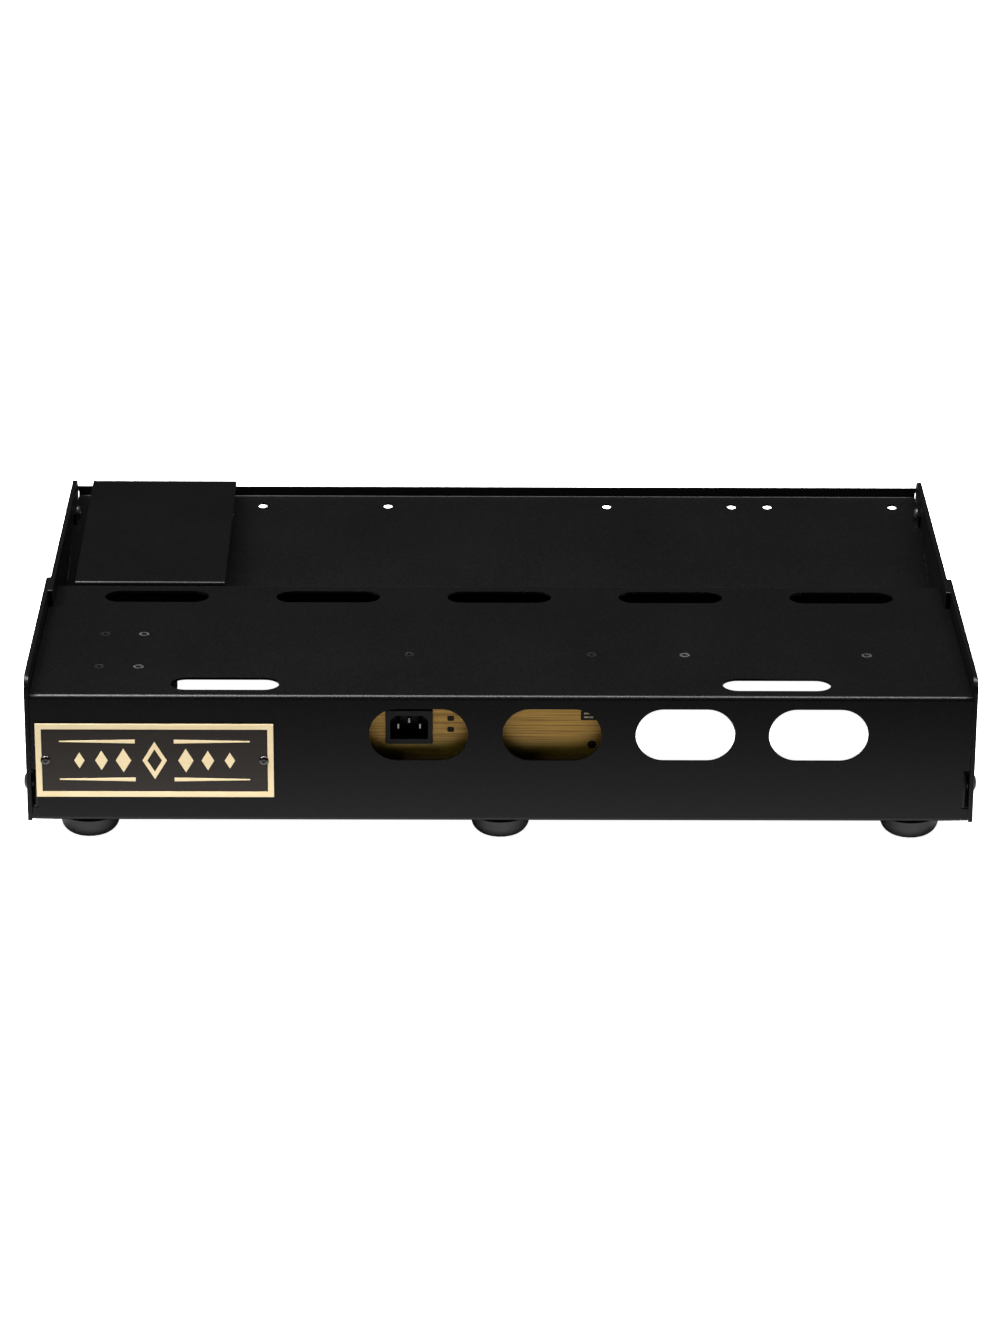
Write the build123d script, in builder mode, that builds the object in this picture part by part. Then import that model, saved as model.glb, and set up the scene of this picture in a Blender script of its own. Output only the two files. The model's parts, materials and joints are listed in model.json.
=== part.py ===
from build123d import *
import math
import os

# Two-tier pedalboard of folded aluminium sheet, in millimetres.
# X runs across the board, Y from the player's side to the far side, Z up from the floor.
# The origin is on the floor, under the middle of the whole board.
# "Depth" below always means the distance behind the front panel's outer face.

os.makedirs("parts", exist_ok=True)

# ---------------------------------------------------------------- driving dimensions
board_width = 609.6
board_depth = 381.0
front_y = -189.15
foot_height = 19.0
cheek_top = 118.0
near_deck_top = 106.3
near_deck_depth = 196.6

sheet = 1.6
plate = 3.0
bend_radius = 3.0
small_bend = 2.4

half_width = board_width / 2
cheek_inner = half_width - plate
side_inner = cheek_inner - plate
shell_half = cheek_inner - 0.4

cheek_length = 182.5
side_start = 155.5
web_bottom = 49.0
flange_depth = 52.0

port_width = 63.6
port_height = 35.7
port_pitch = 85.5
port_middle_x = 75.35
port_z = 79.5

slot_length = 69.85
slot_width = 20.6
far_slot_pitch = 115.1
far_slot_depth = 174.8
near_slot_x = 177.3
near_slot_depth = 20.4

rear_tilt = 12.3
rear_high_depth = 376.5
rear_high_z = 104.5
rear_half = side_inner - 0.1
lip_depth = 377.5
lip_top = 111.35
rear_flange_bottom = 51.0
lip_hole_depth = 365.1
lip_hole_radius = 3.3
lip_hole_spacing = 88.9
lip_pair_x = (-236.5, -122.2, 122.2, 236.5)
tab_length = 20.0
tab_far_depth = 358.5
tab_height = 9.0

rail_depth = 326.0
rail_width = 51.0
rail_lip = 14.0
rail_tab_height = 26.0

foot_x = 266.7
foot_depths = (29.5, 351.5)

supply_half = 86.0
supply_depth = 11.5
supply_length = 120.0
supply_height = 48.7
supply_sheet = 1.2
supply_screw_x = 59.5
supply_screw_depth = supply_depth + supply_length / 2
spare_screw_x = (120.2, 239.2)

bay_right = -214.8
bay_depth = 25.5
bay_length = 104.0
bay_height = 45.0
bay_wall = 1.5
bay_screw_x = -260.0
bay_spare_x = -234.6
bay_screw_depths = (49.3, 106.5)

riser_x = lip_pair_x[0]
riser_width = 101.6
riser_near_depth = 198.7
riser_near_top = 107.4
riser_far_depth = 374.5
riser_far_top = 117.6

name_width = 152.4
name_height = 50.8
name_x = -222.0
name_z = 61.8
name_screw_inset = 6.35
name_hole = 1.7

deck_underside = near_deck_top - sheet
slope = math.tan(math.radians(rear_tilt))


def y_at(depth):
    """Y of a point at this depth behind the front panel."""
    return front_y + depth


def rear_top_at(depth):
    """Height of the rear deck's top surface at this depth."""
    return rear_high_z - (rear_high_depth - depth) * slope


def rear_plane(depth, x=0.0):
    """Plane on the rear deck's top surface, its normal pointing up out of the deck."""
    normal = (0, -math.sin(math.radians(rear_tilt)), math.cos(math.radians(rear_tilt)))
    return Plane(origin=(x, y_at(depth), rear_top_at(depth)), x_dir=(1, 0, 0), z_dir=normal)


# ---------------------------------------------------------------- shared fasteners
# Each pattern stands on the origin with its axis on Z, head or top face at z = 0.
def button_screw(head_radius, head_height, shank_radius, length, socket):
    """Button-head socket screw: the head above z = 0, the shank below."""
    with BuildPart() as screw:
        with BuildSketch(Plane.XZ):
            with BuildLine():
                Line((0, 0), (head_radius, 0))
                Line((head_radius, 0), (head_radius, head_height * 0.25))
                ThreePointArc(
                    (head_radius, head_height * 0.25),
                    (head_radius * 0.8, head_height * 0.72),
                    (head_radius * 0.45, head_height),
                )
                Line((head_radius * 0.45, head_height), (0, head_height))
                Line((0, head_height), (0, 0))
            make_face()
        revolve(axis=Axis.Z)
        with BuildSketch(Plane.XY.offset(head_height)):
            RegularPolygon(radius=socket / 2, side_count=6, major_radius=False)
        extrude(amount=-head_height * 0.6, mode=Mode.SUBTRACT)
        with BuildSketch(Plane.XY):
            Circle(shank_radius)
        extrude(amount=-length)
    return screw.part


def flush_screw(head_radius, shank_radius, length, recess):
    """Countersunk screw: its flat head is flush at z = 0."""
    with BuildPart() as screw:
        cone_depth = head_radius - shank_radius
        with BuildSketch(Plane.XZ):
            with BuildLine():
                Polyline(
                    (0, 0),
                    (head_radius, 0),
                    (shank_radius, -cone_depth),
                    (shank_radius, -length),
                    (0, -length),
                    close=True,
                )
            make_face()
        revolve(axis=Axis.Z)
        with BuildSketch(Plane.XY):
            RegularPolygon(radius=recess / 2, side_count=6, major_radius=False)
        extrude(amount=-cone_depth * 0.8, mode=Mode.SUBTRACT)
    return screw.part


def hex_nut(across_flats, height, bore_radius):
    """Hexagon nut hanging below z = 0."""
    with BuildPart() as nut:
        with BuildSketch(Plane.XY):
            RegularPolygon(radius=across_flats / 2, side_count=6, major_radius=False)
            Circle(bore_radius, mode=Mode.SUBTRACT)
        extrude(amount=-height)
    return nut.part


def ring(outer_radius, height, bore_radius):
    """Plain round ring below z = 0: a washer, a weld nut or a thumb nut's body."""
    with BuildPart() as washer:
        with BuildSketch(Plane.XY):
            Circle(outer_radius)
            Circle(bore_radius, mode=Mode.SUBTRACT)
        extrude(amount=-height)
    return washer.part


def group_of(pattern, places):
    """Separate copies of one pattern at a list of Locations."""
    with BuildPart() as group:
        with Locations(*places):
            add(pattern)
    return group


def facing(point, direction):
    """Location whose Z axis points along a direction, at a point."""
    return Location(Plane(origin=point, z_dir=direction))


# ---------------------------------------------------------------- front shell
# One folded sheet: bottom flange, front panel, near deck and the web behind the deck.
shell_outline = (
    (y_at(flange_depth), foot_height),
    (y_at(0), foot_height),
    (y_at(0), near_deck_top),
    (y_at(near_deck_depth), near_deck_top),
    (y_at(near_deck_depth), web_bottom),
)
panel_tab_low = foot_height + 10.0
panel_tab_high = foot_height + 35.0
panel_tab_length = 25.0
panel_tab_root = 4.2
panel_tab_gap = 1.7
panel_tab_screw = (12.5, 41.6)
relief = 0.8
deck_tab_near = 133.0
deck_tab_far = 151.0
deck_tab_bottom = 84.0
deck_tab_screw = (142.0, 94.0)
tab_root = 5.5
side_hole = 2.8
small_hole = 2.3
port_xs = [port_middle_x + port_pitch * step for step in (-1.5, -0.5, 0.5, 1.5)]
far_slot_xs = [far_slot_pitch * step for step in range(-2, 3)]
web_bolt_xs = (-230.0, -60.0, 60.0, 230.0)
web_bolt_z = 57.0
clinch_places = [(x, supply_screw_depth) for x in spare_screw_x]
clinch_places += [(bay_spare_x, depth) for depth in bay_screw_depths]
clinch_shank = 3.4
clinch_flange = 4.2
clinch_flange_height = 2.2
clinch_thread = 2.1
clinch_recess = 0.05
flush_places = [(-supply_screw_x, supply_screw_depth), (supply_screw_x, supply_screw_depth)]
flush_places += [(bay_screw_x, depth) for depth in bay_screw_depths]
flush_head = 3.3
flush_shank = 2.0

with BuildPart() as front_shell:
    with BuildSketch(Plane.YZ):
        with BuildLine():
            FilletPolyline(*shell_outline, radius=bend_radius)
            offset(amount=sheet, side=Side.RIGHT)
        make_face()
    extrude(amount=shell_half)
    # corner notch that lets the side plate pass beside the deck and the web
    with BuildSketch(Plane.XY.offset(web_bottom - 1)):
        with Locations((side_inner - 0.3, y_at(side_start - 0.5))):
            Rectangle(plate * 2, near_deck_depth, align=(Align.MIN, Align.MIN))
    extrude(amount=cheek_top, mode=Mode.SUBTRACT)
    # panel end tab, folded back a spacer's thickness inside the cheek, a relief cut above and below
    with BuildSketch(Plane.XZ.offset(-y_at(0) + 1)):
        with Locations((shell_half - panel_tab_root, panel_tab_low - relief)):
            Rectangle(
                panel_tab_root * 2, panel_tab_high - panel_tab_low + 2 * relief, align=(Align.MIN, Align.MIN)
            )
    extrude(amount=-(sheet + 2), mode=Mode.SUBTRACT)
    with BuildSketch(Plane.XY.offset(panel_tab_low)):
        with BuildLine():
            FilletPolyline(
                (shell_half - panel_tab_root, y_at(0)),
                (cheek_inner - panel_tab_gap, y_at(0)),
                (cheek_inner - panel_tab_gap, y_at(panel_tab_length)),
                radius=small_bend,
            )
            offset(amount=sheet, side=Side.LEFT)
        make_face()
    extrude(amount=panel_tab_high - panel_tab_low)
    # deck end tab, folded down against the cheek
    with BuildSketch(Plane.XZ.offset(-y_at(deck_tab_near))):
        with BuildLine():
            FilletPolyline(
                (shell_half - tab_root, near_deck_top),
                (cheek_inner, near_deck_top),
                (cheek_inner, deck_tab_bottom),
                radius=small_bend,
            )
            offset(amount=sheet, side=Side.RIGHT)
        make_face()
    extrude(amount=-(deck_tab_far - deck_tab_near))
    # screw holes of the right-hand tabs
    with BuildSketch(Plane.YZ.offset(cheek_inner + 1)):
        with Locations(*[(y_at(depth), z) for depth, z in (panel_tab_screw, deck_tab_screw)]):
            Circle(side_hole)
    extrude(amount=-(panel_tab_gap + sheet + 2), mode=Mode.SUBTRACT)
    mirror(about=Plane.YZ)
    # cable ports in the panel and the nameplate's two holes
    with BuildSketch(Plane.XZ.offset(-y_at(0) + 1)):
        with Locations(*[(x, port_z) for x in port_xs]):
            SlotOverall(port_width, port_height)
        with Locations((name_x, name_z)):
            with GridLocations(name_width - 2 * name_screw_inset, 1, 2, 1):
                Circle(name_hole)
    extrude(amount=-(sheet + 2), mode=Mode.SUBTRACT)
    # cable slots in the deck, holes for the clinch nuts
    with BuildSketch(Plane.XY.offset(near_deck_top)):
        with Locations(*[(x, y_at(far_slot_depth)) for x in far_slot_xs]):
            SlotOverall(slot_length, slot_width)
        with Locations((-near_slot_x, y_at(near_slot_depth)), (near_slot_x, y_at(near_slot_depth))):
            SlotOverall(slot_length, slot_width)
        with Locations(*[(x, y_at(depth)) for x, depth in clinch_places]):
            Circle(clinch_shank)
    extrude(amount=-(sheet + 1), mode=Mode.SUBTRACT)
    # countersunk holes of the supply's and the patch bay's screws
    with Locations(*[(x, y_at(depth), near_deck_top) for x, depth in flush_places]):
        CounterSinkHole(radius=flush_shank + 0.2, counter_sink_radius=flush_head + 0.1, depth=sheet + 1)
    # foot holes in the flange, bolt holes in the web
    with BuildSketch(Plane.XY.offset(foot_height + sheet + 0.5)):
        with Locations(*[(x, y_at(foot_depths[0])) for x in (-foot_x, 0, foot_x)]):
            Circle(side_hole)
    extrude(amount=-(sheet + 1), mode=Mode.SUBTRACT)
    with BuildSketch(Plane.XZ.offset(-y_at(near_deck_depth) - 1)):
        with Locations(*[(x, web_bolt_z) for x in web_bolt_xs]):
            Circle(small_hole)
    extrude(amount=sheet + 2, mode=Mode.SUBTRACT)

front_shell.part.label = "front_shell"
export_step(front_shell.part, "parts/front_shell.step")

with BuildPart() as clinch_nuts:
    with Locations(*[(x, y_at(depth), near_deck_top - clinch_recess) for x, depth in clinch_places]):
        add(ring(clinch_shank, sheet, clinch_thread))
        with Locations((0, 0, clinch_recess - sheet)):
            add(ring(clinch_flange, clinch_flange_height, clinch_thread))

clinch_nuts.part.label = "deck_clinch_nuts"
export_step(clinch_nuts.part, "parts/deck_clinch_nuts.step")

# ---------------------------------------------------------------- cheeks and side plates
cheek_near_corner = 8.5
cheek_far_corner = 3.0
side_near_corner = 1.0
side_far_corner = 10.5
cheek_chamfer = 0.4
jack_clearance = 5.0
# screws through the cheek: (depth, height, thickness of what lies behind the cheek)
cheek_screws = (
    (*panel_tab_screw, panel_tab_gap + sheet),
    (*deck_tab_screw, sheet),
    (169.0, 40.0, plate),
    (169.0, 95.0, plate),
)
rear_screw_depth = tab_far_depth - tab_length / 2
rear_screw_z = rear_top_at(rear_screw_depth) + 5.0
rail_screw_depths = (338.0, 365.0)
rail_screw_z = foot_height + 15.0
jack_depths = (50.5, 77.5, 104.5)
jack_heights = (71.5, 92.0)


def plate_outline(near, far, near_corner, far_corner):
    """Sketch of an upright plate on the YZ plane, its two top corners rounded."""
    with BuildSketch() as outline:
        with Locations((y_at(near), foot_height)):
            Rectangle(far - near, cheek_top - foot_height, align=(Align.MIN, Align.MIN))
        near_top = outline.vertices().group_by(Axis.X)[0].sort_by(Axis.Y)[-1]
        fillet(near_top, near_corner)
        far_top = outline.vertices().group_by(Axis.X)[-1].sort_by(Axis.Y)[-1]
        fillet(far_top, far_corner)
    return outline.sketch


def cheek(side, jack_holes):
    """Outer cheek beside the front shell; side is -1 for left and 1 for right."""
    with BuildPart() as wall:
        with BuildSketch(Plane.YZ.offset(side * cheek_inner)):
            add(plate_outline(0, cheek_length, cheek_near_corner, cheek_far_corner))
            with Locations(*[(y_at(depth), z) for depth, z, _ in cheek_screws]):
                Circle(side_hole, mode=Mode.SUBTRACT)
            if jack_holes:
                with Locations(*[(y_at(depth), z) for depth in jack_depths for z in jack_heights]):
                    Circle(jack_clearance, mode=Mode.SUBTRACT)
        extrude(amount=side * plate)
        outer_face = wall.faces().sort_by(Axis.X)[-1 if side > 0 else 0]
        chamfer(outer_face.edges().filter_by(GeomType.CIRCLE, reverse=True), cheek_chamfer)
    return wall


def side_plate(side):
    """Inner side plate that carries the rear deck and the rail."""
    with BuildPart() as wall:
        with BuildSketch(Plane.YZ.offset(side * side_inner)):
            add(plate_outline(side_start, board_depth, side_near_corner, side_far_corner))
            with Locations(*[(y_at(depth), z) for depth, z, back in cheek_screws if back == plate]):
                Circle(side_hole, mode=Mode.SUBTRACT)
            with Locations((y_at(rear_screw_depth), rear_screw_z)):
                Circle(small_hole, mode=Mode.SUBTRACT)
            with Locations(*[(y_at(depth), rail_screw_z) for depth in rail_screw_depths]):
                Circle(small_hole, mode=Mode.SUBTRACT)
        extrude(amount=side * plate)
    return wall


left_cheek = cheek(-1, True)
left_cheek.part.label = "left_cheek"
export_step(left_cheek.part, "parts/left_cheek.step")

right_cheek = cheek(1, False)
right_cheek.part.label = "right_cheek"
export_step(right_cheek.part, "parts/right_cheek.step")

left_side = side_plate(-1)
left_side.part.label = "left_side_plate"
export_step(left_side.part, "parts/left_side_plate.step")

right_side = side_plate(1)
right_side.part.label = "right_side_plate"
export_step(right_side.part, "parts/right_side_plate.step")

# ---------------------------------------------------------------- rear deck
# Folded sheet: a flange bolted to the web, the sloping deck and the upturned lip.
rear_outline = (
    (y_at(near_deck_depth), rear_flange_bottom),
    (y_at(near_deck_depth), rear_top_at(near_deck_depth)),
    (y_at(lip_depth), rear_top_at(lip_depth)),
    (y_at(lip_depth), lip_top),
)
corner_relief_width = 0.5
corner_relief_length = 6.0

with BuildPart() as rear_deck:
    with BuildSketch(Plane.YZ):
        with BuildLine():
            FilletPolyline(*rear_outline, radius=(small_bend, small_bend - sheet))
            offset(amount=sheet, side=Side.RIGHT)
        make_face()
    extrude(amount=rear_half)
    # end tab, folded up against the side plate
    tab_plane = rear_plane(tab_far_depth)
    tab_section = Plane(origin=tab_plane.origin, x_dir=(1, 0, 0), z_dir=-tab_plane.y_dir)
    with BuildSketch(tab_section):
        with BuildLine():
            FilletPolyline(
                (rear_half - tab_root, -sheet),
                (side_inner, -sheet),
                (side_inner, tab_height),
                radius=small_bend,
            )
            offset(amount=sheet, side=Side.LEFT)
        make_face()
    extrude(amount=tab_length)
    with BuildSketch(Plane.YZ.offset(side_inner + 1)):
        with Locations((y_at(rear_screw_depth), rear_screw_z)):
            Circle(small_hole)
    extrude(amount=-(sheet + 2), mode=Mode.SUBTRACT)
    # open corner between the end tab and the lip
    with BuildSketch(rear_plane(lip_depth)):
        with Locations((rear_half, 0)):
            Rectangle(corner_relief_width * 2, corner_relief_length * 2)
    extrude(amount=-2 * sheet, both=True, mode=Mode.SUBTRACT)
    mirror(about=Plane.YZ)
    with BuildSketch(rear_plane(lip_hole_depth)):
        for pair_x in lip_pair_x:
            with Locations((pair_x, 0)):
                with GridLocations(lip_hole_spacing, 1, 2, 1):
                    Circle(lip_hole_radius)
    extrude(amount=-(sheet + 1), mode=Mode.SUBTRACT)
    with BuildSketch(Plane.XZ.offset(-y_at(near_deck_depth) + 1)):
        with Locations(*[(x, web_bolt_z) for x in web_bolt_xs]):
            Circle(small_hole)
    extrude(amount=-(sheet + 2), mode=Mode.SUBTRACT)

rear_deck.part.label = "rear_deck"
export_step(rear_deck.part, "parts/rear_deck.step")

# ---------------------------------------------------------------- rear rail
# Shallow channel across the bottom of the far side, bolted to both side plates.
rail_outline = (
    (y_at(rail_depth), foot_height + rail_lip),
    (y_at(rail_depth), foot_height),
    (y_at(rail_depth + rail_width), foot_height),
    (y_at(rail_depth + rail_width), foot_height + rail_lip),
)
with BuildPart() as rear_rail:
    with BuildSketch(Plane.YZ):
        with BuildLine():
            FilletPolyline(*rail_outline, radius=small_bend)
            offset(amount=sheet, side=Side.LEFT)
        make_face()
    extrude(amount=side_inner - 0.4)
    with BuildSketch(Plane.XZ.offset(-y_at(rail_depth + small_bend + 1))):
        with BuildLine():
            FilletPolyline(
                (side_inner - tab_root * 2, foot_height),
                (side_inner, foot_height),
                (side_inner, foot_height + rail_tab_height),
                radius=small_bend,
            )
            offset(amount=sheet, side=Side.LEFT)
        make_face()
    extrude(amount=-(rail_width - 2 * small_bend - 2))
    with BuildSketch(Plane.YZ.offset(side_inner + 1)):
        with Locations(*[(y_at(depth), rail_screw_z) for depth in rail_screw_depths]):
            Circle(small_hole)
    extrude(amount=-(sheet + 2), mode=Mode.SUBTRACT)
    mirror(about=Plane.YZ)
    with BuildSketch(Plane.XY.offset(foot_height + sheet + 0.5)):
        with Locations(*[(x, y_at(foot_depths[1])) for x in (-foot_x, 0, foot_x)]):
            Circle(side_hole)
    extrude(amount=-(sheet + 1), mode=Mode.SUBTRACT)

rear_rail.part.label = "rear_rail"
export_step(rear_rail.part, "parts/rear_rail.step")

# ---------------------------------------------------------------- feet
# Domed rubber foot under a narrower neck, with a recess for its screw.
foot_radius = 19.0
foot_dome = 9.5
foot_body_height = 13.4
foot_neck_radius = 14.5
foot_recess_radius = 7.0
foot_recess_height = 8.0
foot_screw_radius = 2.5
foot_bore = foot_screw_radius + 0.2
foot_places = [(x, y_at(depth), 0) for depth in foot_depths for x in (-foot_x, 0, foot_x)]

with BuildPart() as foot:
    with BuildSketch(Plane.XZ):
        with BuildLine():
            Line((foot_recess_radius, 0), (foot_radius - foot_dome, 0))
            TangentArc((foot_radius - foot_dome, 0), (foot_radius, foot_dome), tangent=(1, 0))
            Polyline(
                (foot_radius, foot_dome),
                (foot_radius, foot_body_height),
                (foot_neck_radius, foot_body_height),
                (foot_neck_radius, foot_height),
                (foot_bore, foot_height),
                (foot_bore, foot_recess_height),
                (foot_recess_radius, foot_recess_height),
                (foot_recess_radius, 0),
            )
        make_face()
    revolve(axis=Axis.Z)

rubber_feet = group_of(foot.part, [Location(place) for place in foot_places])
rubber_feet.part.label = "rubber_feet"
export_step(rubber_feet.part, "parts/rubber_feet.step")

foot_washer_height = 1.0
foot_screw_head = 3.0
foot_screw_length = 19.0
head_seat = foot_recess_height - foot_washer_height
foot_screw_head_radius = 5.0
foot_screw_socket = 3.0
foot_screw = button_screw(
    foot_screw_head_radius, foot_screw_head, foot_screw_radius, foot_screw_length, foot_screw_socket
)
foot_screws = group_of(foot_screw, [facing((x, y, head_seat), (0, 0, -1)) for x, y, _ in foot_places])
foot_screws.part.label = "foot_screws"
export_step(foot_screws.part, "parts/foot_screws.step")

foot_washer_radius = 6.2
foot_washer = ring(foot_washer_radius, foot_washer_height, foot_bore)
foot_washers = group_of(foot_washer, [Location((x, y, foot_recess_height)) for x, y, _ in foot_places])
foot_washers.part.label = "foot_washers"
export_step(foot_washers.part, "parts/foot_washers.step")

nut_flats = 8.0
nut_height = 3.2
nut_bore = 2.6
foot_nut = hex_nut(nut_flats, nut_height, nut_bore)
nut_top = foot_height + sheet + nut_height
foot_nuts = group_of(foot_nut, [Location((x, y, nut_top)) for x, y, _ in foot_places])
foot_nuts.part.label = "foot_nuts"
export_step(foot_nuts.part, "parts/foot_nuts.step")

# ---------------------------------------------------------------- side fasteners
side_head = 5.5
side_head_height = 2.6
side_screw_radius = 2.5
side_screw_length = 10.0
side_socket = 3.2
side_screw = button_screw(side_head, side_head_height, side_screw_radius, side_screw_length, side_socket)
side_nut = hex_nut(nut_flats, nut_height, nut_bore)
side_screw_places = []
side_nut_places = []
for side in (-1, 1):
    for depth, z, back in cheek_screws:
        side_screw_places.append(facing((side * half_width, y_at(depth), z), (side, 0, 0)))
        side_nut_places.append(facing((side * (cheek_inner - back), y_at(depth), z), (side, 0, 0)))

side_screws = group_of(side_screw, side_screw_places)
side_screws.part.label = "cheek_screws"
export_step(side_screws.part, "parts/cheek_screws.step")

side_nuts = group_of(side_nut, side_nut_places)
side_nuts.part.label = "cheek_nuts"
export_step(side_nuts.part, "parts/cheek_nuts.step")

# spacers between the cheeks and the panel's end tabs
spacer_radius = 4.6
spacer = ring(spacer_radius, panel_tab_gap, side_hole)
spacers = group_of(
    spacer,
    [
        facing((side * cheek_inner, y_at(panel_tab_screw[0]), panel_tab_screw[1]), (side, 0, 0))
        for side in (-1, 1)
    ],
)
spacers.part.label = "cheek_spacers"
export_step(spacers.part, "parts/cheek_spacers.step")

small_head = 3.8
small_head_height = 2.2
small_screw_radius = 2.0
small_screw_length = 8.0
small_socket = 2.5
small_nut_flats = 7.0
small_nut_height = 2.8
small_nut_bore = 2.1
small_screw = button_screw(
    small_head, small_head_height, small_screw_radius, small_screw_length, small_socket
)
small_nut = hex_nut(small_nut_flats, small_nut_height, small_nut_bore)
rear_screw_places = []
rear_nut_places = []
rail_screw_places = []
rail_nut_places = []
for side in (-1, 1):
    rear_screw_places.append(
        facing((side * (side_inner - sheet), y_at(rear_screw_depth), rear_screw_z), (-side, 0, 0))
    )
    rear_nut_places.append(facing((side * cheek_inner, y_at(rear_screw_depth), rear_screw_z), (-side, 0, 0)))
    for depth in rail_screw_depths:
        rail_screw_places.append(facing((side * cheek_inner, y_at(depth), rail_screw_z), (side, 0, 0)))
        rail_nut_places.append(facing((side * (side_inner - sheet), y_at(depth), rail_screw_z), (side, 0, 0)))

rear_screws = group_of(small_screw, rear_screw_places)
rear_screws.part.label = "rear_deck_screws"
export_step(rear_screws.part, "parts/rear_deck_screws.step")

rear_nuts = group_of(small_nut, rear_nut_places)
rear_nuts.part.label = "rear_deck_nuts"
export_step(rear_nuts.part, "parts/rear_deck_nuts.step")

rail_screws = group_of(small_screw, rail_screw_places)
rail_screws.part.label = "rail_screws"
export_step(rail_screws.part, "parts/rail_screws.step")

rail_nuts = group_of(small_nut, rail_nut_places)
rail_nuts.part.label = "rail_nuts"
export_step(rail_nuts.part, "parts/rail_nuts.step")

web_screw_places = []
web_nut_places = []
for x in web_bolt_xs:
    web_screw_places.append(facing((x, y_at(near_deck_depth - sheet), web_bolt_z), (0, -1, 0)))
    web_nut_places.append(facing((x, y_at(near_deck_depth + sheet), web_bolt_z), (0, -1, 0)))

web_screws = group_of(small_screw, web_screw_places)
web_screws.part.label = "web_screws"
export_step(web_screws.part, "parts/web_screws.step")

web_nuts = group_of(small_nut, web_nut_places)
web_nuts.part.label = "web_nuts"
export_step(web_nuts.part, "parts/web_nuts.step")

# ---------------------------------------------------------------- nameplate
# A blank plate with a raised border and a plain geometric ornament.
name_thickness = 1.2
name_raise = 0.35
name_border = 3.8
name_screw_head = 3.1
name_screw_height = 1.5
name_screw_radius = 1.5
name_screw_length = 7.0
name_socket = 1.8
name_nut_flats = 5.5
name_nut_height = 2.4
name_nut_bore = 1.6
name_screw_places = [
    (name_x + side * (name_width / 2 - name_screw_inset), name_z) for side in (-1, 1)
]
name_back = Plane.XZ.offset(-y_at(0))
name_front = name_back.offset(name_thickness)

with BuildPart() as name_base:
    with BuildSketch(name_back):
        with Locations((name_x, name_z)):
            Rectangle(name_width, name_height)
        with Locations(*name_screw_places):
            Circle(name_hole, mode=Mode.SUBTRACT)
    extrude(amount=name_thickness)

name_base.part.label = "nameplate_base"
export_step(name_base.part, "parts/nameplate_base.step")

with BuildPart() as name_frame:
    with BuildSketch(name_front):
        with Locations((name_x, name_z)):
            Rectangle(name_width, name_height)
            Rectangle(name_width - 2 * name_border, name_height - 2 * name_border, mode=Mode.SUBTRACT)
        with Locations(*name_screw_places):
            Circle(name_screw_head + 0.2, mode=Mode.SUBTRACT)
    extrude(amount=name_raise)

name_frame.part.label = "nameplate_border"
export_step(name_frame.part, "parts/nameplate_border.step")

# Ornament: an open lozenge in the middle, and on each side three solid lozenges that get
# smaller, between two tapering bars.
lozenge_count = 3
lozenge_height = 20.0
lozenge_width = 12.0
lozenge_pitch = 15.5
lozenge_first = 20.0
lozenge_shrink = 0.82
middle_scale = 1.3
middle_wall = 0.6
bar_start = 12.5
bar_end = 61.0
bar_middle = 13.2
bar_thick = 2.6
bar_tip = 0.8


def lozenge(width, height):
    """Upright diamond as a sketch of its own."""
    with BuildSketch() as diamond:
        with BuildLine():
            Polyline((-width / 2, 0), (0, height / 2), (width / 2, 0), (0, -height / 2), close=True)
        make_face()
    return diamond.sketch


emblem_origin = (name_x, y_at(-name_thickness), name_z)
emblem_plane = Plane(origin=emblem_origin, x_dir=(1, 0, 0), z_dir=(0, -1, 0))
with BuildPart() as name_emblem:
    with BuildSketch(emblem_plane):
        add(lozenge(lozenge_width * middle_scale, lozenge_height * middle_scale))
        add(
            lozenge(lozenge_width * middle_scale * middle_wall, lozenge_height * middle_scale * middle_wall),
            mode=Mode.SUBTRACT,
        )
        for step in range(lozenge_count):
            scale_now = lozenge_shrink ** (step + 1)
            offset_x = lozenge_first + lozenge_pitch * step * (1 + lozenge_shrink) / 2
            with Locations((-offset_x, 0), (offset_x, 0)):
                add(lozenge(lozenge_width * scale_now, lozenge_height * scale_now))
        for turn in (-1, 1):
            with BuildLine():
                Polyline(
                    (turn * bar_start, bar_middle + bar_thick / 2),
                    (turn * bar_end, bar_middle + bar_tip / 2),
                    (turn * bar_end, bar_middle - bar_tip / 2),
                    (turn * bar_start, bar_middle - bar_thick / 2),
                    close=True,
                )
            make_face()
        mirror(about=Plane.XZ)
    extrude(amount=name_raise)

name_emblem.part.label = "nameplate_emblem"
export_step(name_emblem.part, "parts/nameplate_emblem.step")

name_screw = button_screw(
    name_screw_head, name_screw_height, name_screw_radius, name_screw_length, name_socket
)
name_screws = group_of(
    name_screw, [facing((x, y_at(-name_thickness), z), (0, -1, 0)) for x, z in name_screw_places]
)
name_screws.part.label = "nameplate_screws"
export_step(name_screws.part, "parts/nameplate_screws.step")

name_nut = hex_nut(name_nut_flats, name_nut_height, name_nut_bore)
name_nuts = group_of(name_nut, [facing((x, y_at(sheet), z), (0, -1, 0)) for x, z in name_screw_places])
name_nuts.part.label = "nameplate_nuts"
export_step(name_nuts.part, "parts/nameplate_nuts.step")

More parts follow.
